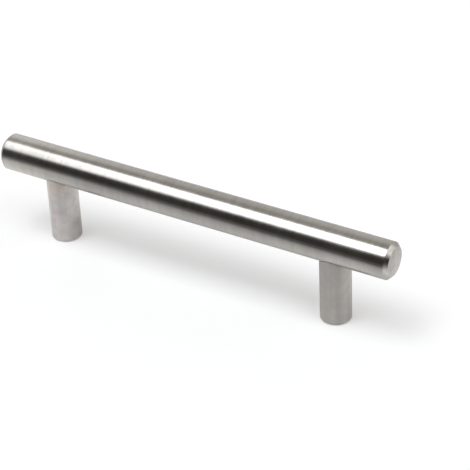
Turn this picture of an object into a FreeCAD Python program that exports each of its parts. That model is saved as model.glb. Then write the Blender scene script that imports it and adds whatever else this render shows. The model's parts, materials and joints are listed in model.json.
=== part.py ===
# Tubular cabinet pull: a plugged steel tube carried on two turned posts.
# X runs along the bar, Y across it and Z away from the door, in millimetres.
# The origin lies midway between the posts, on the door's face.

import FreeCAD
import Part
import Sketcher
import os

# Driving sizes. Each one has a cell with its own alias in the sheet.
sizes = [
    ("hole_spacing", 100.0, "between the two post axes"),
    ("overhang", 20.0, "from a post's axis to the end face of the bar"),
    ("projection", 33.0, "from the door's face to the far side of the bar"),
    ("bar_diameter", 12.0, "outside of the tube"),
    ("tube_wall", 1.0, "thickness of the tube"),
    ("post_diameter", 10.0, "outside of a post"),
    ("foot_bevel", 0.4, "45 degree edge where a post meets the door"),
    ("saddle_gap", 0.03, "between the coped top of a post and the tube"),
    ("thread_size", 4.0, "outside diameter of the studs' thread"),
    ("thread_core", 3.3, "tapping drill of every threaded hole"),
    ("thread_gap", 0.03, "between a stud and the wall of its threaded hole"),
    ("screw_depth", 9.0, "full depth of the threaded hole in a foot"),
    ("mouth_bevel", 0.4, "45 degree mouth of that hole"),
    ("drill_point", 118.0, "angle of a drill's point, in degrees"),
    ("stud_bite", 5.0, "length of stud held in a post"),
    ("stud_floor_gap", 0.5, "room below a stud in its hole"),
    ("stud_end_gap", 4.0, "from a stud's end to the far side of the bore"),
    ("stud_bevel", 0.4, "45 degree end of a stud"),
    ("socket_flats", 2.0, "hexagon socket of a stud, across its flats"),
    ("socket_depth", 2.0, "depth of that socket"),
    ("stud_hole_gap", 0.2, "between a stud's thread and its hole in the tube"),
    ("insert_length", 12.0, "threaded insert, along the bar"),
    ("insert_gap", 0.05, "between an insert and the tube's bore"),
    ("insert_bevel", 0.3, "45 degree edge of an insert"),
    ("plug_bevel", 1.2, "45 degree edge round an end face"),
    ("plug_land", 0.3, "straight rim of a plug, between seam and bevel"),
    ("spigot_length", 6.0, "part of a plug that is pressed into the tube"),
    ("spigot_gap", 0.02, "between a spigot and the tube's bore"),
    ("spigot_bevel", 0.5, "lead-in of a spigot"),
]

# Lengths worked out from the driving sizes, as expressions on the sheet.
bar_radius = "(Sizes.bar_diameter / 2)"
bore_radius = "(Sizes.bar_diameter / 2 - Sizes.tube_wall)"
axis_height = "(Sizes.projection - Sizes.bar_diameter / 2)"
post_radius = "(Sizes.post_diameter / 2)"
core_radius = "(Sizes.thread_core / 2)"
stud_radius = "(Sizes.thread_core / 2 - Sizes.thread_gap)"
point_length = "(Sizes.thread_core / 2 / tan(Sizes.drill_point * 1deg / 2))"
saddle_height = f"({axis_height} - {bar_radius} - Sizes.saddle_gap)"
stud_foot = f"({saddle_height} - Sizes.stud_bite)"
stud_end = f"({axis_height} + {bore_radius} - Sizes.stud_end_gap)"
plug_head = "(Sizes.plug_land + Sizes.plug_bevel)"
half_tube = f"(Sizes.hole_spacing / 2 + Sizes.overhang - {plug_head})"

os.makedirs("parts", exist_ok=True)
doc = FreeCAD.newDocument("CabinetPull")
sheet = doc.addObject("Spreadsheet::Sheet", "Sizes")
for row, (alias, size, note) in enumerate(sizes, start=1):
    sheet.set(f"A{row}", alias)
    sheet.set(f"B{row}", str(size))
    sheet.set(f"C{row}", note)
    sheet.setAlias(f"B{row}", alias)
doc.recompute()


def value(expression):
    """The present value of an expression on the sheet, as a plain number."""
    return float(sheet.evalExpression(expression))


def new_body(label, turned=0.0, along=None, up=None):
    """A body whose place follows the sheet; turned is its angle about Z in degrees."""
    body = doc.addObject("PartDesign::Body", label)
    body.Label = label
    body.Placement = FreeCAD.Placement(
        FreeCAD.Vector(), FreeCAD.Rotation(FreeCAD.Vector(0, 0, 1), turned))
    if along:
        body.setExpression("Placement.Base.x", along)
    if up:
        body.setExpression("Placement.Base.z", up)
    return body


def new_sketch(body, plane, name):
    """An empty sketch on one of the body's own origin planes."""
    sketch = body.newObject("Sketcher::SketchObject", name)
    support = [item for item in body.Origin.OriginFeatures if item.Role == plane][0]
    sketch.AttachmentSupport = [(support, "")]
    sketch.MapMode = "FlatFace"
    return sketch


def place_point(sketch, edge, end, across, along):
    """Ties one end of an edge to the sheet; "0" puts it on that axis."""
    for kind, expression, axis in (("DistanceX", across, -2), ("DistanceY", along, -1)):
        if expression == "0":
            sketch.addConstraint(Sketcher.Constraint("PointOnObject", edge, end, axis))
        else:
            rule = Sketcher.Constraint(kind, -1, 1, edge, end, value(expression))
            number = sketch.addConstraint(rule)
            sketch.setExpression(f"Constraints[{number}]", expression)


def draw_outline(sketch, corners):
    """A closed outline of straight edges through the corners, in order."""
    points = [FreeCAD.Vector(value(across), value(along), 0) for across, along in corners]
    count = len(points)
    for edge in range(count):
        sketch.addGeometry(Part.LineSegment(points[edge], points[(edge + 1) % count]))
    for edge in range(count):
        sketch.addConstraint(Sketcher.Constraint("Coincident", edge, 2, (edge + 1) % count, 1))
    for edge, (across, along) in enumerate(corners):
        place_point(sketch, edge, 1, across, along)


def draw_circle(sketch, radius, across="0", along="0"):
    """A circle whose radius and centre are tied to the sheet."""
    centre = FreeCAD.Vector(value(across), value(along), 0)
    edge = sketch.addGeometry(Part.Circle(centre, FreeCAD.Vector(0, 0, 1), value(radius)))
    place_point(sketch, edge, 3, across, along)
    number = sketch.addConstraint(Sketcher.Constraint("Radius", edge, value(radius)))
    sketch.setExpression(f"Constraints[{number}]", radius)


def add_turning(body, kind, name, corners, axis="V_Axis"):
    """Turns an outline on the XZ plane a full circle, as a Revolution or a Groove."""
    sketch = new_sketch(body, "XZ_Plane", name + "Profile")
    draw_outline(sketch, corners)
    feature = body.newObject("PartDesign::" + kind, name)
    feature.Profile = sketch
    feature.ReferenceAxis = (sketch, [axis])
    feature.Angle = 360
    return feature


def cut_through(body, name, sketch, both_ways):
    """Pockets a sketch through everything, on both sides of its plane or below it."""
    pocket = body.newObject("PartDesign::Pocket", name)
    pocket.Profile = sketch
    pocket.Type = "ThroughAll"
    pocket.Midplane = both_ways
    return pocket


def make_tube():
    """The tube, with a hole in its underside over each post for the stud."""
    body = new_body("bar_tube", up=axis_height)
    section = new_sketch(body, "YZ_Plane", "TubeSection")
    draw_circle(section, bar_radius)
    draw_circle(section, bore_radius)
    pad = body.newObject("PartDesign::Pad", "Tube")
    pad.Profile = section
    pad.Midplane = True
    pad.setExpression("Length", f"2 * {half_tube}")
    holes = new_sketch(body, "XY_Plane", "StudHoles")
    for side in (-1, 1):
        hole_radius = "(Sizes.thread_size / 2 + Sizes.stud_hole_gap)"
        draw_circle(holes, hole_radius, across=f"{side} * Sizes.hole_spacing / 2")
    cut_through(body, "StudHolePocket", holes, both_ways=False)
    return body


def make_plug(side, label):
    """A turned plug: spigot in the tube, shoulder on its end, bevelled end face."""
    spigot_radius = f"({bore_radius} - Sizes.spigot_gap)"
    turned = 0.0 if side > 0 else 180.0
    body = new_body(label, turned, along=f"{side} * {half_tube}", up=axis_height)
    add_turning(body, "Revolution", "Plug", axis="H_Axis", corners=[
        ("-Sizes.spigot_length", "0"),
        ("-Sizes.spigot_length", f"{spigot_radius} - Sizes.spigot_bevel"),
        ("-Sizes.spigot_length + Sizes.spigot_bevel", spigot_radius),
        ("0", spigot_radius),
        ("0", bar_radius),
        ("Sizes.plug_land", bar_radius),
        (plug_head, f"{bar_radius} - Sizes.plug_bevel"),
        (plug_head, "0"),
    ])
    return body


def make_post(side, label):
    """A turned post: bevelled foot, saddle on top, a threaded hole in each end."""
    body = new_body(label, along=f"{side} * Sizes.hole_spacing / 2")
    add_turning(body, "Revolution", "Blank", [
        ("0", "0"),
        (f"{post_radius} - Sizes.foot_bevel", "0"),
        (post_radius, "Sizes.foot_bevel"),
        (post_radius, axis_height),
        ("0", axis_height),
    ])
    saddle = new_sketch(body, "YZ_Plane", "SaddleCircle")
    draw_circle(saddle, f"{bar_radius} + Sizes.saddle_gap", along=axis_height)
    cut_through(body, "Saddle", saddle, both_ways=True)
    add_turning(body, "Groove", "ScrewHole", [
        ("0", "0"),
        (f"{core_radius} + Sizes.mouth_bevel", "0"),
        (core_radius, "Sizes.mouth_bevel"),
        (core_radius, "Sizes.screw_depth"),
        ("0", f"Sizes.screw_depth + {point_length}"),
    ])
    stud_floor = f"({stud_foot} - Sizes.stud_floor_gap)"
    add_turning(body, "Groove", "StudHole", [
        ("0", f"{stud_floor} - {point_length}"),
        (core_radius, stud_floor),
        (core_radius, axis_height),
        ("0", axis_height),
    ])
    return body


def make_stud(side, label):
    """A headless screw that joins post and insert, with a hexagon socket below."""
    body = new_body(label, along=f"{side} * Sizes.hole_spacing / 2")
    add_turning(body, "Revolution", "Shank", [
        ("0", stud_foot),
        (f"{stud_radius} - Sizes.stud_bevel", stud_foot),
        (stud_radius, f"{stud_foot} + Sizes.stud_bevel"),
        (stud_radius, f"{stud_end} - Sizes.stud_bevel"),
        (f"{stud_radius} - Sizes.stud_bevel", stud_end),
        ("0", stud_end),
    ])
    hexagon = new_sketch(body, "XY_Plane", "SocketHexagon")
    corner_radius = "Sizes.socket_flats / 2 / cos(30deg)"
    draw_outline(hexagon, [
        (f"{corner_radius} * cos({angle}deg)", f"{corner_radius} * sin({angle}deg)")
        for angle in range(30, 390, 60)])
    socket = body.newObject("PartDesign::Pocket", "Socket")
    socket.Profile = hexagon
    socket.Reversed = True
    socket.setExpression("Length", f"{stud_foot} + Sizes.socket_depth")
    return body


def make_insert(side, label):
    """A slug that slides in the tube and is tapped across for the stud."""
    radius = f"({bore_radius} - Sizes.insert_gap)"
    half = "(Sizes.insert_length / 2)"
    body = new_body(label, along=f"{side} * Sizes.hole_spacing / 2", up=axis_height)
    add_turning(body, "Revolution", "Slug", axis="H_Axis", corners=[
        (f"-{half}", "0"),
        (f"-{half}", f"{radius} - Sizes.insert_bevel"),
        (f"-{half} + Sizes.insert_bevel", radius),
        (f"{half} - Sizes.insert_bevel", radius),
        (half, f"{radius} - Sizes.insert_bevel"),
        (half, "0"),
    ])
    hole = new_sketch(body, "XY_Plane", "CrossHole")
    draw_circle(hole, core_radius)
    cut_through(body, "CrossHolePocket", hole, both_ways=True)
    return body


def check_features():
    """Stops if any feature failed, or if a pocket or groove removed nothing."""
    for item in doc.Objects:
        if "Invalid" in item.State or "Error" in item.State:
            raise RuntimeError(f"{item.Label} failed: {item.State}")
        if item.TypeId in ("PartDesign::Pocket", "PartDesign::Groove"):
            if item.Shape.Volume >= item.BaseFeature.Shape.Volume - 1e-6:
                raise RuntimeError(f"{item.Label} cuts nothing")


parts = [make_tube()]
for side, word in ((-1, "left"), (1, "right")):
    parts.append(make_plug(side, f"end_plug_{word}"))
    parts.append(make_post(side, f"post_{word}"))
    parts.append(make_stud(side, f"joining_stud_{word}"))
    parts.append(make_insert(side, f"threaded_insert_{word}"))
doc.recompute()
check_features()

for part in parts:
    if part.Shape.isNull() or not part.Shape.isValid() or len(part.Shape.Solids) != 1:
        raise RuntimeError(f"{part.Label} isn't one sound solid")
for part in parts:
    part.Shape.exportStep(f"parts/{part.Label}.step")
    print(f"{part.Label}: {part.Shape.Volume:.1f} mm3, {len(part.Shape.Faces)} faces")
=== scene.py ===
import json

import bmesh
import bpy
import numpy as np
from mathutils import Matrix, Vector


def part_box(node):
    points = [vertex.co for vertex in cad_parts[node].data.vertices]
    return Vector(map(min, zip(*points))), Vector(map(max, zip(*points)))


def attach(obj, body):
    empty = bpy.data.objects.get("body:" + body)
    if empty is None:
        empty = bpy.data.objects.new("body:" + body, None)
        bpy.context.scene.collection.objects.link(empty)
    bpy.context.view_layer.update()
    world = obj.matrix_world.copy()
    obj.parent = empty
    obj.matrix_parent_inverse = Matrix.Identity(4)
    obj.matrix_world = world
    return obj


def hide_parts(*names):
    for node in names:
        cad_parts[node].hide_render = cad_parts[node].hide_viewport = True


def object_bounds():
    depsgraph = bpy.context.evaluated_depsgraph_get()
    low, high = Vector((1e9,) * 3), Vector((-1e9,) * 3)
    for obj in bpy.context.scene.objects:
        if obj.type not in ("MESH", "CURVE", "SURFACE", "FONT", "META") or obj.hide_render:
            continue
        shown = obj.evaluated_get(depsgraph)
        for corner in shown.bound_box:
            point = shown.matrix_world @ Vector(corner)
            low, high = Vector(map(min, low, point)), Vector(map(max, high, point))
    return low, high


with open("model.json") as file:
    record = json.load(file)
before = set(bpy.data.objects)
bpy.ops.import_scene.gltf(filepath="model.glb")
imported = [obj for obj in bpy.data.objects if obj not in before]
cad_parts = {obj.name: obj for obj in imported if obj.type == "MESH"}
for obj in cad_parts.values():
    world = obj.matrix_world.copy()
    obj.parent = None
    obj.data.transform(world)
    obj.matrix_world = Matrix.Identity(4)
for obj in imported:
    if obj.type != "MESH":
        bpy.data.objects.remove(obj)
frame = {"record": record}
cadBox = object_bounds()
mm = 0.001

# What the solids fix: where the bar, the posts and the inner pieces lie, and how large they are.
holePattern = next(mount for mount in frame["record"]["mounts"] if mount["name"] == "screw_pair")
postX = holePattern["dims"]["spacing_x_mm"] / 2 * mm
barRadius = cadBox[1][1]
barHeight = cadBox[1][2] - barRadius
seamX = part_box("bar_tube")[1][0]
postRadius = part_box("post_right")[1][0] - postX
plugLow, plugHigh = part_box("end_plug_right")
studLow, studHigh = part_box("joining_stud_right")
insertLow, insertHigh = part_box("threaded_insert_right")
print("frame read: bar", round(2 * barRadius / mm, 3), "mm thick, posts", round(2 * postRadius / mm, 3),
      "mm thick, inserts", round((insertHigh[2] - insertLow[2]) / mm, 3), "mm thick")


# Surfaces

mergeDistance = 2e-7
creaseAngle = 32           # degrees between two faces from which their edge is shaded sharp
arcSteps = 5               # points on each rounded corner
squareShare = 0.9          # half side of the grid's square round a hole, in hole radii
stationDecimals = 9        # decimals of a metre to which stations of a grid are told apart


def blend(start, end, share):
    # straight mix: the start where share is 0, the end where it is 1
    return start + (end - start) * share


def gridFaces(rows, columns, first=0, keep=None):
    # four corners for every cell of a grid whose last column joins the first one again
    row, column = np.meshgrid(np.arange(rows - 1), np.arange(columns), indexing="ij")
    onward = (column + 1) % columns
    below = first + row * columns
    corners = [below + column, below + onward, below + columns + onward, below + columns + column]
    corners = np.stack(corners, axis=-1)
    return corners.reshape(-1, 4) if keep is None else corners[keep]


def ribbonFaces(loopA, loopB):
    # four corners for every cell between two closed loops of as many points
    return np.stack([loopA, np.roll(loopA, -1), np.roll(loopB, -1), loopB], axis=-1)


def makePiece(name, points, faces, finish, node):
    # seams and poles are closed by merging what coincides, and the faces are then turned outward
    mesh = bpy.data.meshes.new(name)
    mesh.from_pydata(points.reshape(-1, 3).tolist(), [], faces.tolist())
    work = bmesh.new()
    work.from_mesh(mesh)
    bmesh.ops.delete(work, geom=[vert for vert in work.verts if not vert.link_faces], context="VERTS")
    bmesh.ops.remove_doubles(work, verts=work.verts, dist=mergeDistance)
    bmesh.ops.recalc_face_normals(work, faces=work.faces)
    openEdges = sum(not edge.is_manifold for edge in work.edges)
    work.to_mesh(mesh)
    work.free()
    mesh.shade_smooth()
    mesh.set_sharp_from_angle(angle=np.radians(creaseAngle))
    mesh.materials.append(finish)
    piece = bpy.data.objects.new(name, mesh)
    bpy.context.scene.collection.objects.link(piece)
    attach(piece, "root")
    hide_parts(node)
    print("made", name, "with", len(mesh.polygons), "faces,", openEdges, "open edges")


def roundedPath(corners, radii):
    # corners of a path in a plane, each cut back by its radius' tangent length and joined by a circular arc.
    # A point a third of a radius before and after each arc keeps the flat faces' shading flat
    corners = np.asarray(corners, float)
    path = [corners[:1]]
    for before, corner, after, radius in zip(corners[:-2], corners[1:-1], corners[2:], radii):
        if radius == 0:
            path.append(corner[None])
            continue
        inward = (before - corner) / np.linalg.norm(before - corner)
        outward = (after - corner) / np.linalg.norm(after - corner)
        half = np.arccos(np.clip(inward @ outward, -1, 1)) / 2
        middle = (inward + outward) / np.linalg.norm(inward + outward)
        centre = corner + middle * radius / np.sin(half)
        start = corner + inward * radius / np.tan(half)
        end = corner + outward * radius / np.tan(half)
        share = np.linspace(0, 1, arcSteps)[:, None]
        arc = blend(start, end, share) - centre
        arc = centre + arc / np.linalg.norm(arc, axis=1, keepdims=True) * radius
        path += [start[None] + inward * radius / 3, arc, end[None] + outward * radius / 3]
    path.append(corners[-1:])
    return np.concatenate(path)


def fullTurn(columns):
    # even steps of the turn, from 0 up to the last before a full one
    return np.linspace(0, 2 * np.pi, columns, endpoint=False)


def turnedRoundBar(path, columns):
    # a path of (radius, place) turned round the bar's axis: the place along X, and the radius times the
    # cosine and the sine of the turn across it
    turn = fullTurn(columns)
    place = path[:, 1:] * np.ones(columns)
    across, upward = path[:, :1] * np.cos(turn), path[:, :1] * np.sin(turn)
    return np.stack([place, across, upward], axis=-1) + (0, 0, barHeight)


def turnedRoundPost(blocks, turn, sense):
    # blocks of rows of (radii, heights), one after another, round a post's axis: the radius times the cosine
    # and the sine of the turn, and the height
    radii, heights = (np.concatenate(rows) for rows in zip(*blocks))
    points = [radii * np.cos(turn) + sense * postX, radii * np.sin(turn), heights]
    return np.stack(points, axis=-1), gridFaces(*radii.shape)


def tip(height, even):
    # a row that shrinks to a point on the axis
    return 0 * even[None], height * even[None]


thread = {
    "pitch": 0.7 * mm,
    "crestShare": 0.12,      # of the pitch, flat on the crest
    "rootShare": 0.25,       # of the pitch, flat at the root
    "rowsPerTurn": 14,
    "runOut": 0.5 * mm,      # along which the groove fades at an end
}


def threadShape(turn, height):
    # the groove's depth, 0 on the crest and 1 at the root, of a right-hand thread: it depends only on the
    # height less the pitch's share of the turn, and its flanks are straight
    phase = (height / thread["pitch"] - turn / (2 * np.pi)) % 1
    fromCrest = np.minimum(phase, 1 - phase) * 2
    flank = 1 - thread["crestShare"] - thread["rootShare"]
    return np.clip((fromCrest - thread["crestShare"]) / flank, 0, 1)


def fadeAtEnds(height, low, high):
    # 0 at both ends of a hole or shank, 1 a run-out further in
    inside = np.minimum(height - low, high - height) / thread["runOut"]
    return np.clip(inside, 0, 1)


def threadRows(low, high):
    # heights of the rows along a thread, from its low end to its high one
    turns = (high - low) / thread["pitch"]
    return np.linspace(low, high, int(round(turns * thread["rowsPerTurn"])) + 1)


def pulledCylinder(radius, stations, holes, holeRadius, sideCells, patchCells):
    # a cylinder along X as a grid of stations and columns. Round each hole a square of the grid is pulled to
    # the hole's circle: a point keeps its direction from the hole's axis, and its distance runs from the
    # hole's radius on the square to its own distance on a square twice as wide
    half = squareShare * holeRadius
    hair = 1e-6
    elsewhere = 9              # farther than any square reaches, in half sides
    line = np.linspace(-2, 2, 4 * patchCells + 1)
    edge = np.arcsin(2 * half / radius)
    side = np.linspace(edge, np.pi - edge, sideCells + 1)[1:-1]
    low = np.arcsin(line * half / radius)
    turn = np.concatenate([low, side, np.pi - low[::-1], 2 * np.pi - side[::-1]])
    patches = [centre + line * half for centre in sorted({hole[0] for hole in holes})]
    along = np.unique(np.round(np.concatenate([stations, *patches]), stationDecimals))
    x, turn = np.meshgrid(along, turn, indexing="ij")
    y, up = radius * np.sin(turn), -np.cos(turn)
    keep = np.ones((len(along) - 1, x.shape[1]), bool)
    rims = []
    for centre, direction in holes:
        u, v = (x - centre) / half, y / half
        square = np.maximum(abs(u), abs(v))
        square = np.where(up * direction > 0, square, elsewhere)
        away = np.maximum(np.hypot(u, v), hair)
        reach = blend(holeRadius / half, away, np.clip(square - 1, 0, 1)) / away
        near = (square > 1 - hair) & (square < 2)
        x = np.where(near, centre + u * reach * half, x)
        y = np.where(near, v * reach * half, y)
        inside = square < 1 + hair
        onward = np.roll(inside, -1, 1)
        keep &= ~np.all([inside[:-1], inside[1:], onward[:-1], onward[1:]], axis=0)
        onRim = np.flatnonzero(abs(square - 1) < hair)
        rims.append(onRim[np.argsort(np.arctan2(v, u).ravel()[onRim])])
    z = np.sign(up) * np.sqrt(np.maximum(radius ** 2 - y ** 2, 0))
    return np.stack([x, y, z], axis=-1), keep, rims


# Shader maths

class Wire:
    # an output socket: sums, differences, products and quotients with wires or numbers add Math nodes
    def __init__(self, nodes, socket):
        self.nodes = nodes
        self.socket = socket

    def __add__(self, other):
        return self.nodes.maths("ADD", self, other)

    def __radd__(self, other):
        return self.nodes.maths("ADD", other, self)

    def __sub__(self, other):
        return self.nodes.maths("SUBTRACT", self, other)

    def __rsub__(self, other):
        return self.nodes.maths("SUBTRACT", other, self)

    def __mul__(self, other):
        return self.nodes.maths("MULTIPLY", self, other)

    def __rmul__(self, other):
        return self.nodes.maths("MULTIPLY", other, self)

    def __truediv__(self, other):
        return self.nodes.maths("DIVIDE", self, other)

    def __rtruediv__(self, other):
        return self.nodes.maths("DIVIDE", other, self)


class Nodes:
    # a node tree that grows by one method; the others are its frequent uses
    def __init__(self, owner):
        owner.use_nodes = True
        self.tree = owner.node_tree
        self.tree.nodes.clear()

    def add(self, kind, settings=None, sockets=None, output=0):
        # a node with its settings, and a wire or a constant for each socket; gives the wire of one output
        node = self.tree.nodes.new("ShaderNode" + kind)
        settings = dict(settings or {})
        stops = settings.pop("stops", None)
        for name, value in settings.items():
            setattr(node, name, value)
        if stops:
            ramp = node.color_ramp
            while len(ramp.elements) < len(stops):
                ramp.elements.new(1)
            for element, (position, colour) in zip(ramp.elements, stops):
                element.position = position
                element.color = (*colour, 1)
        for name, value in (sockets or {}).items():
            if isinstance(value, Wire):
                self.tree.links.new(value.socket, node.inputs[name])
            else:
                node.inputs[name].default_value = value
        return Wire(self, node.outputs[output]) if node.outputs else None

    def outputs(self, wire, *names):
        # the named outputs of the node that a wire comes from
        return [Wire(self, wire.socket.node.outputs[name]) for name in names]

    def maths(self, operation, *terms):
        # one operation on wires or numbers
        return self.add("Math", {"operation": operation}, dict(enumerate(terms)))

    def bell(self, value):
        # 1 where the value is 0, falling to both sides: the exponential of minus its square
        return self.maths("EXPONENT", value * value * -1)

    def vector(self, operation, first, second, output=0):
        # one operation on two vectors
        return self.add("VectorMath", {"operation": operation}, {0: first, 1: second}, output)

    def dimmed(self, colour, factor):
        # the colour times one number
        return self.add("VectorMath", {"operation": "SCALE"}, {0: colour, "Scale": factor})

    def noise(self, place, stretch=None, scale=1, detail=2, roughness=0.5):
        # cloudy values about a half, so many per metre all round or, stretched, so many along each axis
        if stretch:
            place = self.vector("MULTIPLY", place, stretch)
        sockets = {"Vector": place, "Scale": scale, "Detail": detail, "Roughness": roughness}
        return self.add("TexNoise", None, sockets)

    def ease(self, value, start, end, low=0, high=1):
        # low before start, high after end, and a smooth step between
        sockets = {"Value": value, "From Min": start, "From Max": end, "To Min": low, "To Max": high}
        return self.add("MapRange", {"interpolation_type": "SMOOTHSTEP"}, sockets)

    def shade(self, share, first, second, blending="MIX"):
        # from the first colour to the second, or to their product. A Mix node takes its colours at sockets 6
        # and 7 and gives the mixed one at its output 2
        first, second = (value if isinstance(value, Wire) else (*value, 1) for value in (first, second))
        settings = {"data_type": "RGBA", "blend_type": blending}
        return self.add("Mix", settings, {"Factor": share, 6: first, 7: second}, output=2)


def weighted(wires, shares):
    # the sum of the wires, each times its share
    terms = [wire * share for wire, share in zip(wires, shares)]
    return sum(terms[1:], terms[0])


def startMetal(name):
    # a new material, its nodes and the place on the object
    material = bpy.data.materials.new(name)
    nodes = Nodes(material)
    return material, nodes, nodes.add("TexCoord", output="Object")


def finishMetal(nodes, looks, colour, roughness, height):
    # ends the tree of a bare metal whose marks are a depth high
    normal = nodes.add("Bump", None, {"Height": height, "Distance": looks["depth"], "Strength": 1})
    sockets = {"Base Color": colour, "Roughness": roughness, "Normal": normal, "Metallic": 1}
    nodes.add("OutputMaterial", None, {"Surface": nodes.add("BsdfPrincipled", None, sockets)})


# Finishes

tubeFinish = {
    "bright": (0.662, 0.638, 0.6),
    "dull": (0.557, 0.535, 0.501),
    # many marks per metre along the bar, few round it
    "lines": {"stretch": (14000, 260, 260), "detail": 3, "roughness": 0.65},
    "strokes": {"stretch": (1500, 90, 90), "detail": 4, "roughness": 0.75},
    "bands": {"stretch": (500, 40, 40), "detail": 3},
    "clouds": {"scale": 110},
    "toneShares": (0.5, 0.2, 0.3),              # of the strokes, the bands and the clouds
    "toneSpan": (0.38, 0.62),
    "heightShares": (0.8, 0.2),                 # of the lines and the strokes
    "depth": 2.4e-6,
    "roughShares": (0.5, 0.5),                  # of the strokes and the clouds
    "roughSpan": (0.35, 0.65),
    "roughness": (0.195, 0.225),
    "duller": (-40 * mm, -66 * mm, 0, 0.042),   # more roughness towards the left end
}


def makeTubeFinish():
    # brushed round the bar: fine lines that run round it and differ along it
    looks = tubeFinish
    material, nodes, place = startMetal("brushedTube")
    lines = nodes.noise(place, **looks["lines"])
    strokes = nodes.noise(place, **looks["strokes"])
    bands = nodes.noise(place, **looks["bands"])
    clouds = nodes.noise(place, **looks["clouds"])
    tone = nodes.ease(weighted([strokes, bands, clouds], looks["toneShares"]), *looks["toneSpan"])
    colour = nodes.shade(tone, looks["dull"], looks["bright"])
    roughness = weighted([strokes, clouds], looks["roughShares"])
    roughness = nodes.ease(roughness, *looks["roughSpan"], *looks["roughness"])
    x = nodes.add("SeparateXYZ", None, {"Vector": place}, "X")
    roughness = roughness + nodes.ease(x, *looks["duller"])
    finishMetal(nodes, looks, colour, roughness, weighted([lines, strokes], looks["heightShares"]))
    return material


plugFinish = {
    "bright": (0.735, 0.712, 0.666),
    "dull": (0.47, 0.451, 0.418),
    "rings": 9000,                    # per metre, outward from the axis and along it
    "ringDetail": 3,
    "mottle": {"scale": 600, "detail": 4, "roughness": 0.6},
    "toneShares": (0.35, 0.65),       # of the rings and the mottle
    "toneSpan": (0.3, 0.7),
    "paintedSheen": (0, 24, -15),            # the way in which the end face is painted brighter, a painted sheen, per metre
    "faceEdge": (4.3 * mm, 4.9 * mm),   # from the axis, over which the end face's painted sheen ends
    "bevelPaintedLift": 0.02,                # a painted lift: bevel and land are painted brighter by this past the face's edge
    "depth": 5e-6,
    "roughSpan": (0.3, 0.7),
    "roughness": (0.19, 0.24),
}


def makePlugFinish():
    # turned: rings about the bar's axis, which follow the distance from it and the place along it. The end
    # face also carries a painted sheen, brighter to one side, and the bevel past it a painted lift
    looks = plugFinish
    material, nodes, place = startMetal("turnedPlug")
    centred = nodes.vector("SUBTRACT", place, (0, 0, barHeight))
    across = nodes.vector("MULTIPLY", centred, (0, 1, 1))
    away = nodes.add("VectorMath", {"operation": "LENGTH"}, {0: across}, "Value")
    along = nodes.add("SeparateXYZ", None, {"Vector": centred}, "X")
    ringPlace = away * looks["rings"] + along * looks["rings"]
    ringSockets = {"W": ringPlace, "Scale": 1, "Detail": looks["ringDetail"]}
    rings = nodes.add("TexNoise", {"noise_dimensions": "1D"}, ringSockets)
    mottle = nodes.noise(place, **looks["mottle"])
    # painted sheen: the end face is painted brighter towards one side, and the bevel past its edge a little
    # brighter
    paintedSheen = nodes.vector("DOT_PRODUCT", centred, looks["paintedSheen"], "Value")
    onFace = nodes.ease(away, *looks["faceEdge"], 1, 0)
    tone = weighted([rings, mottle], looks["toneShares"]) + blend(looks["bevelPaintedLift"], paintedSheen, onFace)
    tone = nodes.ease(tone, *looks["toneSpan"])
    colour = nodes.shade(tone, looks["dull"], looks["bright"])
    roughness = nodes.ease(mottle, *looks["roughSpan"], *looks["roughness"])
    finishMetal(nodes, looks, colour, roughness, rings)
    return material


postFinish = {
    # many marks per metre round the post, few along it
    "streaks": {"stretch": (2200, 2200, 45), "detail": 3, "roughness": 0.6},
    "stripes": {"stretch": (620, 620, 22)},
    "grain": {"scale": 9000},
    "clouds": {"scale": 380, "detail": 3, "roughness": 0.55},
    "patches": {"scale": 170, "detail": 1},
    "patchSpan": (0.5, 0.72),
    "toneShares": (0.3, 0.55, 0.15),         # of the stripes, the clouds and the streaks
    "toneSpan": (0.36, 0.64),
    "paintedTopSpan": (2 * mm, 22 * mm),            # heights over which the post is painted paler towards its top, painted light
    "paintedFootSpan": (6 * mm, 14 * mm),           # heights over which the foot's painted side light and shade end
    "sideWay": (0.854, 0.521, 0),            # across the post, from one side of its foot to the other
    "paintedSideSpan": (-1 * mm, 4.5 * mm),         # over which one side's painted light turns into the other side's painted shade
    "paintedLinePlace": 0.7 * mm,                    # of a painted dark reflection line up the post, measured the same way
    "paintedLineSpread": 1.3 * mm,
    "heightShares": (0.8, 0.6),              # of the grain and the streaks
    "depth": 1.5e-6,
    "roughSpan": (0.3, 0.7),
    "roughness": (0.56, 0.66),
}
# the left post is painted paler than the right, lit and shaded copies of one metal, and each foot carries
# painted light on one side and painted shade on the other
postTones = {
    -1: {
        "bright": (0.93, 0.891, 0.866),
        "dull": (0.765, 0.729, 0.7),
        "warm": (1.03, 0.99, 0.95),          # the colour of the patches, times the post's
        "top": 1.075,
        # painted light and painted shade at the foot's two sides, from one side to the other
        "foot": (1.05, 0.75),
        "paintedLineShare": 0.02,
    },
    1: {
        "bright": (0.672, 0.642, 0.612),
        "dull": (0.581, 0.553, 0.525),
        "warm": (1.01, 1, 0.985),
        "top": 1.15,
        # painted light and painted shade at the foot's two sides, from one side to the other
        "foot": (1, 0.95),
        "paintedLineShare": 0.11,
    },
}


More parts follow.
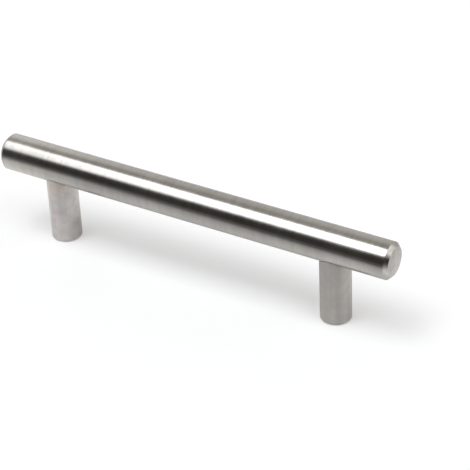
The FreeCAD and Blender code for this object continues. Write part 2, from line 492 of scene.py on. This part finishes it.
def makePostFinish(sense, name):
    # blasted satin with faint lengthwise streaks and soft clouds, under painted light: paler towards the top,
    # painted shade on one side of the foot and a painted dark reflection line up the post
    looks, tones = postFinish, postTones[sense]
    material, nodes, place = startMetal(name)
    streaks = nodes.noise(place, **looks["streaks"])
    stripes = nodes.noise(place, **looks["stripes"])
    grain = nodes.noise(place, **looks["grain"])
    clouds = nodes.noise(place, **looks["clouds"])
    patches = nodes.ease(nodes.noise(place, **looks["patches"]), *looks["patchSpan"])
    tone = nodes.ease(weighted([stripes, clouds, streaks], looks["toneShares"]), *looks["toneSpan"])
    colour = nodes.shade(tone, tones["dull"], tones["bright"])
    colour = nodes.shade(patches, colour, tones["warm"], "MULTIPLY")
    height = nodes.add("SeparateXYZ", None, {"Vector": place}, "Z")
    centred = nodes.vector("SUBTRACT", place, (sense * postX, 0, 0))
    side = nodes.vector("DOT_PRODUCT", centred, looks["sideWay"], "Value")
    # painted shade: near the foot one side is painted darker and the other lighter, as the light falls
    paintedSideShade = nodes.ease(side, *looks["paintedSideSpan"], *tones["foot"])
    # painted light: the post is painted paler towards its top
    paintedLightAndShade = nodes.ease(height, *looks["paintedTopSpan"], 1, tones["top"])
    paintedLightAndShade = paintedLightAndShade * blend(1, paintedSideShade, nodes.ease(height, *looks["paintedFootSpan"], 1, 0))
    # painted reflection: a darker line up the post
    onPaintedLine = nodes.bell((side - looks["paintedLinePlace"]) / looks["paintedLineSpread"])
    colour = nodes.dimmed(colour, paintedLightAndShade * (1 - onPaintedLine * tones["paintedLineShare"]))
    roughness = nodes.ease(clouds, *looks["roughSpan"], *looks["roughness"])
    finishMetal(nodes, looks, colour, roughness, weighted([grain, streaks], looks["heightShares"]))
    return material


studFinish = {
    "bright": (0.6, 0.615, 0.635),
    "dull": (0.5, 0.515, 0.54),
    "marks": {"stretch": (900, 900, 9000), "detail": 3, "roughness": 0.6},
    "depth": 2e-6,
    "roughness": (0.2, 0.32),
}
insertFinish = {
    "bright": (0.56, 0.545, 0.52),
    "dull": (0.45, 0.435, 0.41),
    "marks": {"stretch": (9000, 700, 700), "detail": 3, "roughness": 0.6},
    "depth": 4e-6,
    "roughness": (0.3, 0.42),
}
innerFinish = {
    "clouds": {"scale": 900, "detail": 3},
    "toneShares": (0.3, 0.7),                # of the marks and the clouds
    "toneSpan": (0.35, 0.65),
    "roughSpan": (0.3, 0.7),
}


def makeInnerFinish(name, looks):
    # an inner piece: tool lines across its length under soft clouds
    material, nodes, place = startMetal(name)
    marks = nodes.noise(place, **looks["marks"])
    clouds = nodes.noise(place, **innerFinish["clouds"])
    tone = nodes.ease(weighted([marks, clouds], innerFinish["toneShares"]), *innerFinish["toneSpan"])
    colour = nodes.shade(tone, looks["dull"], looks["bright"])
    roughness = nodes.ease(clouds, *innerFinish["roughSpan"], *looks["roughness"])
    finishMetal(nodes, looks, colour, roughness, marks)
    return material


brushedTube = makeTubeFinish()
turnedPlug = makePlugFinish()
satinPost = {-1: makePostFinish(-1, "satinPostLeft"), 1: makePostFinish(1, "satinPostRight")}
platedStud = makeInnerFinish("platedStud", studFinish)
plainInsert = makeInnerFinish("plainInsert", insertFinish)
print("finishes made")


# Bar tube

tube = {
    "wall": 1 * mm,
    "studHole": 2.2 * mm,      # radius of the holes that the joining studs pass through
    "endRound": 0.1 * mm,
    "sideCells": 64,
    "patchCells": 8,           # per half square round a stud hole
    "plainStations": 40,
}


def makeTube():
    # the outer and the inner cylinder share one grid; rounded rims join them at the ends, and a ribbon of
    # faces joins them round each stud hole in the underside
    soften = tube["endRound"]
    innerRadius = barRadius - tube["wall"]
    last, rimStart = seamX - 2 * soften, seamX - 1.5 * soften
    stations = [np.linspace(-last, last, tube["plainStations"]), [-rimStart, rimStart]]
    stations = np.concatenate(stations)
    holes = [(-postX, -1), (postX, -1)]
    cells = tube["sideCells"], tube["patchCells"]
    layers, faces, rimLoops, count = [], [], [], 0
    for radius in (barRadius, innerRadius):
        grid, keep, rims = pulledCylinder(radius, stations, holes, tube["studHole"], *cells)
        layers.append(grid)
        faces.append(gridFaces(*grid.shape[:2], first=count, keep=keep))
        rimLoops.append([rim + count for rim in rims])
        count += grid.shape[0] * grid.shape[1]
    columns = layers[0].shape[1]
    faces += [ribbonFaces(outer, inner) for outer, inner in zip(*rimLoops)]
    # rounded rims: quarter circles from each cylinder to the flat end between them
    corners = [(barRadius, rimStart), (barRadius, seamX), (innerRadius, seamX), (innerRadius, rimStart)]
    path = roundedPath(corners, [soften, soften])
    share = ((barRadius - path[:, 0]) / tube["wall"])[:, None, None]
    for side in (0, -1):
        outer, inner = layers[0][side], layers[1][side]
        ring = blend(outer, inner, share)[..., 1:]
        ring = ring / np.linalg.norm(ring, axis=-1, keepdims=True) * path[:, :1, None]
        along = np.broadcast_to(np.sign(outer[0, 0]) * path[:, 1:, None], ring.shape[:2] + (1,))
        layers.append(np.concatenate([along, ring], axis=-1))
        faces.append(gridFaces(len(path), columns, first=count))
        count += len(path) * columns
    points = np.concatenate([layer.reshape(-1, 3) for layer in layers]) + (0, 0, barHeight)
    faces = np.concatenate(faces)
    makePiece("brushed_bar_tube", points, faces, brushedTube, "bar_tube")


makeTube()


# End plugs

plug = {
    "bevel": 1.2 * mm,
    "spigotGap": 0.02 * mm,
    "spigotBevel": 0.5 * mm,
    "arris": 0.1 * mm,         # radius at the face's edge and at the seam
    "outerArris": 0.2 * mm,
    "columns": 160,
}


def makePlug(sense, name, node):
    # one path turned about the bar's axis: end face, bevel, land, shoulder at the seam, and spigot
    endX, innerX = plugHigh[0], plugLow[0]
    spigot = barRadius - tube["wall"] - plug["spigotGap"]
    corners = [
        (0, endX),
        (barRadius - plug["bevel"], endX),
        (barRadius, endX - plug["bevel"]),
        (barRadius, seamX),
        (spigot, seamX),
        (spigot, innerX + plug["spigotBevel"]),
        (spigot - plug["spigotBevel"], innerX),
        (0, innerX),
    ]
    arris = plug["arris"]
    path = roundedPath(corners, [arris, plug["outerArris"], arris, 0, arris, arris])
    points = turnedRoundBar(path, plug["columns"]) * (sense, 1, 1)
    faces = gridFaces(len(path), plug["columns"])
    makePiece(name, points, faces, turnedPlug, node)


makePlug(-1, "turned_plug_left", "end_plug_left")
makePlug(1, "turned_plug_right", "end_plug_right")


# Posts

post = {
    "saddleGap": 0.03 * mm,
    "footBevel": 0.4 * mm,
    "arris": 0.1 * mm,
    "topArris": 0.05 * mm,
    "tapDrill": 1.65 * mm,     # radius
    "grooveDepth": 0.35 * mm,
    "grooveRelief": 0.02 * mm,
    "screwDepth": 9 * mm,
    "mouthBevel": 0.4 * mm,
    "mouthShare": 0.999,       # of the mouth's depth, where the foot's surface starts
    "drillPoint": 118,         # degrees
    "studFloorGap": 0.5 * mm,
    "columns": 96,
    "saddleRows": 10,
}
pointLength = post["tapDrill"] / np.tan(np.radians(post["drillPoint"] / 2))


def makePost(sense, name, node):
    # rows of points round the post's axis, from the tip of the foot's tapped hole, down its thread, across
    # the foot, up the wall to the saddle and down the upper thread. The saddle's height is the bar axis less
    # the root of its radius squared less y squared, so the wall's upper end follows the bar
    turn, even = fullTurn(post["columns"]), np.ones(post["columns"])
    drill, groove = post["tapDrill"], post["grooveDepth"]

    def saddle(radius):
        # the height at which a circle of this radius round the post meets the saddle
        across = radius * np.sin(turn)
        return barHeight - np.sqrt((barRadius + post["saddleGap"]) ** 2 - across ** 2)

    footMouth = post["mouthBevel"]
    footHeights = threadRows(footMouth, post["screwDepth"])[::-1, None] * even
    footFade = np.clip((post["screwDepth"] - footHeights) / thread["runOut"], 0, 1)
    footRadii = drill + groove * threadShape(turn, footHeights) * footFade
    foot = roundedPath([
        (drill + groove + post["grooveRelief"], footMouth * post["mouthShare"]),
        (drill + post["mouthBevel"], 0),
        (postRadius - post["footBevel"], 0),
        (postRadius, post["footBevel"]),
        (postRadius, 2 * post["footBevel"]),
    ], [0, post["arris"], post["arris"]])
    # the wall's upper end and the saddle: each row's radius, and what its height adds to the saddle's
    innerTop = np.linspace(postRadius - 2 * post["topArris"], drill, post["saddleRows"])
    topRows = [(postRadius, -post["topArris"]), (postRadius - post["topArris"], 0)]
    topRows += [(radius, 0) for radius in innerTop]
    topRadii = np.stack([radius * even for radius, drop in topRows])
    topHeights = np.stack([saddle(radius) + drop for radius, drop in topRows])
    studFloor = studLow[2] - post["studFloorGap"]
    topLow = saddle(0)[0]
    share = threadRows(0, topLow - studFloor)[::-1, None] / (topLow - studFloor)
    rim = saddle(drill)
    studHeights = blend(studFloor, rim, share)
    studFade = fadeAtEnds(studHeights, studFloor, rim)
    studRadii = drill + groove * threadShape(turn, studHeights) * studFade
    blocks = [
        tip(post["screwDepth"] + pointLength, even),
        (footRadii, footHeights),
        (foot[:, :1] * even, foot[:, 1:] * even),
        (topRadii, topHeights),
        (studRadii, studHeights),
        tip(studFloor - pointLength, even),
    ]
    points, faces = turnedRoundPost(blocks, turn, sense)
    makePiece(name, points, faces, satinPost[sense], node)


makePost(-1, "satin_post_left", "post_left")
makePost(1, "satin_post_right", "post_right")


# Joining studs

stud = {
    "fitGap": 0.03 * mm,
    "bevel": 0.4 * mm,
    "socketFlats": 2 * mm,
    "socketDepth": 2 * mm,
    "columns": 72,
}


def makeStud(sense, name, node):
    # a threaded shank with bevelled ends; the hexagon socket's radius is half its flats over the cosine of
    # the turn from the nearest flat's middle
    turn, even = fullTurn(stud["columns"]), np.ones(stud["columns"])
    root = post["tapDrill"] - stud["fitGap"]
    low, high = studLow[2], studHigh[2]
    sixth = np.pi / 3
    hexagon = stud["socketFlats"] / 2 / np.cos((turn + sixth / 2) % sixth - sixth / 2)
    rows = threadRows(low, high)[:, None] * even
    crest = root + post["grooveDepth"] * threadShape(turn, rows)
    bevelled = root - stud["bevel"] + np.minimum(rows - low, high - rows)
    floor = low + stud["socketDepth"]
    blocks = [
        tip(floor, even),
        (hexagon[None], floor * even[None]),
        (hexagon[None], low * even[None]),
        (np.minimum(crest, bevelled), rows),
        tip(high, even),
    ]
    points, faces = turnedRoundPost(blocks, turn, sense)
    makePiece(name, points, faces, platedStud, node)


makeStud(-1, "threaded_stud_left", "joining_stud_left")
makeStud(1, "threaded_stud_right", "joining_stud_right")


# Threaded inserts

insert = {
    "bevel": 0.3 * mm,
    "stations": 8,
    "sideCells": 30,
    "patchCells": 6,
}


def makeInsert(sense, name, node):
    # a slug along the bar with a tapped hole across it: both rims of the hole come from the pulled grid, and
    # the rows of the thread run between them
    radius = (insertHigh[1] - insertLow[1]) / 2
    middle = (insertHigh[0] + insertLow[0]) / 2
    half = (insertHigh[0] - insertLow[0]) / 2
    drill = post["tapDrill"]
    stations = np.linspace(-half + insert["bevel"], half - insert["bevel"], insert["stations"])
    cells = insert["sideCells"], insert["patchCells"]
    grid, keep, rims = pulledCylinder(radius, stations, [(0, -1), (0, 1)], drill, *cells)
    columns = grid.shape[1]
    below, above = (grid.reshape(-1, 3)[rim] for rim in rims)
    turn = np.arctan2(below[:, 1], below[:, 0])
    share = threadRows(0, 2 * radius)[:, None] / (2 * radius)
    heights = blend(below[:, 2], above[:, 2], share)
    fade = fadeAtEnds(heights, below[:, 2], above[:, 2])
    radii = drill + post["grooveDepth"] * threadShape(turn, heights + barHeight) * fade
    bore = np.stack([radii * np.cos(turn), radii * np.sin(turn), heights], axis=-1)
    layers, faces = [grid, bore], [gridFaces(*grid.shape[:2], keep=keep)]
    count = grid.shape[0] * columns
    faces.append(gridFaces(*bore.shape[:2], first=count))
    count += bore.shape[0] * bore.shape[1]
    # each end: the cylinder's last ring, the bevel's smaller one and the middle
    sizes = np.array([1, 1 - insert["bevel"] / radius, 0])[:, None, None]
    for side in (0, -1):
        ring = grid[side]
        caps = ring[None] * (1, 0, 0) + ring[None] * sizes * (0, 1, 1)
        caps[1:, :, 0] = np.sign(ring[0, 0]) * half
        layers.append(caps)
        faces.append(gridFaces(3, columns, first=count))
        count += 3 * columns
    points = np.concatenate([layer.reshape(-1, 3) for layer in layers])
    points = points + (sense * middle, 0, barHeight)
    makePiece(name, points, np.concatenate(faces), plainInsert, node)


makeInsert(-1, "tapped_insert_left", "threaded_insert_left")
makeInsert(1, "tapped_insert_right", "threaded_insert_right")


# Studio

studio = {
    # light of the room by the tilt, from the horizon in front (0) over the zenith to the one behind (1)
    "room": [
        (0.0, (0.045, 0.042, 0.039)),
        (0.14, (0.028, 0.026, 0.024)),
        (0.24, (0.036, 0.034, 0.032)),
        (0.5, (0.3, 0.288, 0.278)),
        (0.66, (0.315, 0.302, 0.29)),
        (0.85, (0.5, 0.485, 0.468)),
        (1.0, (0.49, 0.477, 0.462)),
    ],
    # softbox, in degrees: where its front and back edge fade by the tilt, its left and right one by the side
    "boxFront": (44, 52.5),
    "boxBack": (91, 98),
    "boxLeft": (-50, -26),
    "boxRight": (56, 66),
    "boxLean": (-40, -10, 6),      # its front edge runs from 6 degrees lower to 6 higher between these sides
    "boxGlow": 1.36,
    # a softer strip across it: its tilt, its half width, how much is missing, and where it starts
    "ribTilt": 69,
    "ribWidth": 4,
    "ribShare": 0.5,
    "ribSide": (-21, -29),
    # its bright core: tilt, side, spread by both and glow
    "lampTilt": 75,
    "lampSide": -14,
    "lampSpread": (13, 7.5),
    "lampGlow": 5.7,
    # bright cards: the edge by the side, the front edge and the back edge by the tilt, and the glow
    "cards": [
        ((-27, -36), (114, 142), (190, 200), 0.6),
        ((-25, -20), (120, 142), (176, 192), 0.1),
        ((29, 48), (88, 104), (158, 186), 0.8),
    ],
    "lightColour": (0.98, 0.993, 1.01, 1),
}


def makeWorld():
    # light by direction: tilt is the angle over the bar's line from front to back, the arc tangent of the
    # height over minus y, and side the angle along the line, the arc sine of x. The lamp falls off as the
    # exponential of minus half the sum of its offsets squared, in spreads. The camera alone sees white
    world = bpy.data.worlds.new("studio")
    bpy.context.scene.world = world
    nodes = Nodes(world)
    way = nodes.add("TexCoord", output="Generated")
    x, y, z = nodes.outputs(nodes.add("SeparateXYZ", None, {"Vector": way}), "X", "Y", "Z")
    degrees = 180 / np.pi
    tilt = nodes.maths("ARCTAN2", z, y * -1) * degrees
    side = nodes.maths("ARCSINE", x) * degrees
    room = nodes.add("ValToRGB", {"stops": studio["room"]}, {"Fac": tilt / 180})
    leanFrom, leanTo, lean = studio["boxLean"]
    box = nodes.ease(tilt - nodes.ease(side, leanFrom, leanTo, -lean, lean), *studio["boxFront"])
    box = box * nodes.ease(tilt, *studio["boxBack"], 1, 0)
    box = box * nodes.ease(side, *studio["boxLeft"]) * nodes.ease(side, *studio["boxRight"], 1, 0)
    onRib = nodes.bell((tilt - studio["ribTilt"]) / studio["ribWidth"])
    ribShare = nodes.ease(side, *studio["ribSide"]) * studio["ribShare"]
    box = box * (1 - onRib * ribShare)
    offTilt = (tilt - studio["lampTilt"]) / studio["lampSpread"][0]
    offSide = (side - studio["lampSide"]) / studio["lampSpread"][1]
    lamp = nodes.maths("EXPONENT", (offTilt * offTilt + offSide * offSide) * -0.5)
    glow = box * (lamp * studio["lampGlow"] + studio["boxGlow"])
    for sideEdge, frontEdge, backEdge, cardGlow in studio["cards"]:
        card = nodes.ease(side, *sideEdge) * nodes.ease(tilt, *frontEdge)
        glow = glow + card * nodes.ease(tilt, *backEdge, 1, 0) * cardGlow
    roomLight = nodes.add("Background", None, {"Color": room, "Strength": 1})
    boxLight = nodes.add("Background", None, {"Color": studio["lightColour"], "Strength": glow})
    light = nodes.add("AddShader", None, {0: roomLight, 1: boxLight})
    white = nodes.add("Background", None, {"Color": (1, 1, 1, 1), "Strength": 1})
    seen = nodes.add("LightPath", output="Is Camera Ray")
    surface = nodes.add("MixShader", None, {"Fac": seen, 1: light, 2: white})
    nodes.add("OutputWorld", None, {"Surface": surface})


makeWorld()


table = {
    "paper": (0.8135, 0.817, 0.8205),
    "size": 6.0,                   # metres, each side
    "drop": 0.02 * mm,             # below the feet
    "cameraGlow": 0.24,
    # the glow that reflections see, times the painted shade
    "metalGlow": 0.1,
    "reach": 200 * mm,             # how far the two profiles run, either way from the middle
    # painted shade on the floor that only reflections see: how much of the floor's light metal sees, by the
    # millimetre across the bar and along it
    "across": [
        (-150, 0.12), (-100, 0.3), (-60, 0.6), (-33, 0.78), (-10, 0.93), (12, 1.0), (26, 0.9), (45, 0.72),
    ],
    "along": [
        (-125, 1.12), (-98, 1.2), (-68, 0.84), (-54, 0.765), (-38, 0.82), (0, 0.81), (45, 0.91), (58, 0.92),
        (72, 0.88), (105, 1.1), (160, 0.45),
    ],
    # painted shadow there, or a painted pool of light where the share is negative: its middle, its spread and
    # by how much
    "patches": [
        ((-135 * mm, 36 * mm, 0), 28 * mm, 0.75),
        ((-74 * mm, -10 * mm, 0), 13 * mm, -0.16),
    ],
}


def paintedShadeAndLightProfile(nodes, place, stops):
    # painted shade and light for reflections: straight runs between the given places in millimetres and their
    # greys
    reach = table["reach"]
    greys = [((at * mm + reach) / (2 * reach), (grey, grey, grey)) for at, grey in stops]
    return nodes.add("ValToRGB", {"stops": greys}, {"Fac": place / (2 * reach) + 0.5})


def makeFloor():
    # a square of paper with a little glow of its own. Reflections see it times both profiles of painted shade
    # and less each patch's share of painted shadow or light, which falls off as the exponential of minus the
    # distance over the spread, squared
    half = table["size"] / 2
    corners = [(-half, -half), (half, -half), (half, half), (-half, half)]
    mesh = bpy.data.meshes.new("floor")
    mesh.from_pydata([(x, y, -table["drop"]) for x, y in corners], [], [(0, 1, 2, 3)])
    material = bpy.data.materials.new("paleFloor")
    nodes = Nodes(material)
    rays = nodes.add("LightPath")
    camera, glossy, through = nodes.outputs(rays, "Is Camera Ray", "Is Glossy Ray", "Is Transmission Ray")
    spot = nodes.add("TexCoord", output="Object")
    x, y = nodes.outputs(nodes.add("SeparateXYZ", None, {"Vector": spot}), "X", "Y")
    # painted shade and light on the floor, seen only in reflections
    near = paintedShadeAndLightProfile(nodes, x, table["along"]) * paintedShadeAndLightProfile(nodes, y, table["across"])
    for middle, spread, share in table["patches"]:
        away = nodes.vector("DISTANCE", spot, middle, "Value") / spread
        near = near * (1 - nodes.bell(away) * share)
    seen = 1 - glossy * (1 - near)
    paper = nodes.add("BsdfDiffuse", None, {"Color": nodes.dimmed(table["paper"], seen)})
    glow = (camera + through) * table["cameraGlow"] + glossy * near * table["metalGlow"]
    light = nodes.add("Emission", None, {"Color": (1, 1, 1, 1), "Strength": glow})
    surface = nodes.add("AddShader", None, {0: paper, 1: light})
    nodes.add("OutputMaterial", None, {"Surface": surface})
    mesh.materials.append(material)
    floor = bpy.data.objects.new("floor", mesh)
    bpy.context.scene.collection.objects.link(floor)


makeFloor()
print("studio made")


# Camera

shot = {
    "azimuth": 31.39,                  # degrees from straight in front, towards the right end
    "elevation": 34.74,
    "roll": 2.76,                      # degrees, right side down
    "distance": 627.43 * mm,
    "focalPixels": 2007.3,
    "framePixels": 470,
    "aimPixel": (192.99, 203.46),      # where the middle of the bar's axis lies in the frame
    "sensor": 36,
    "clip": (0.01, 20),
}


def makeCamera():
    # it stands the distance back from the middle of the bar's axis along the view, and as far aside and below
    # as the aim lies off the frame's middle, times the distance over the focal length
    azimuth, elevation, roll = np.radians([shot["azimuth"], shot["elevation"], shot["roll"]])
    ahead = np.array([-np.sin(azimuth), np.cos(azimuth), 0]) * np.cos(elevation)
    forward = ahead - (0, 0, np.sin(elevation))
    level = np.cross(forward, (0, 0, 1))
    level /= np.linalg.norm(level)
    down = np.cross(forward, level)
    right = level * np.cos(roll) + down * np.sin(roll)
    down = down * np.cos(roll) - level * np.sin(roll)
    offMiddle = np.array(shot["aimPixel"]) - shot["framePixels"] / 2
    aside, below = offMiddle / shot["focalPixels"] * shot["distance"]
    place = np.array([0, 0, barHeight]) - forward * shot["distance"] - right * aside - down * below
    data = bpy.data.cameras.new("camera")
    data.sensor_width = shot["sensor"]
    data.lens = shot["sensor"] * shot["focalPixels"] / shot["framePixels"]
    data.clip_start, data.clip_end = shot["clip"]
    camera = bpy.data.objects.new("camera", data)
    turnAndPlace = np.eye(4)
    turnAndPlace[:3] = np.stack([right, -down, -forward, place], axis=1)
    camera.matrix_world = Matrix(turnAndPlace.tolist())
    bpy.context.scene.collection.objects.link(camera)
    bpy.context.scene.camera = camera


makeCamera()
bpy.context.scene.view_settings.view_transform = "Standard"
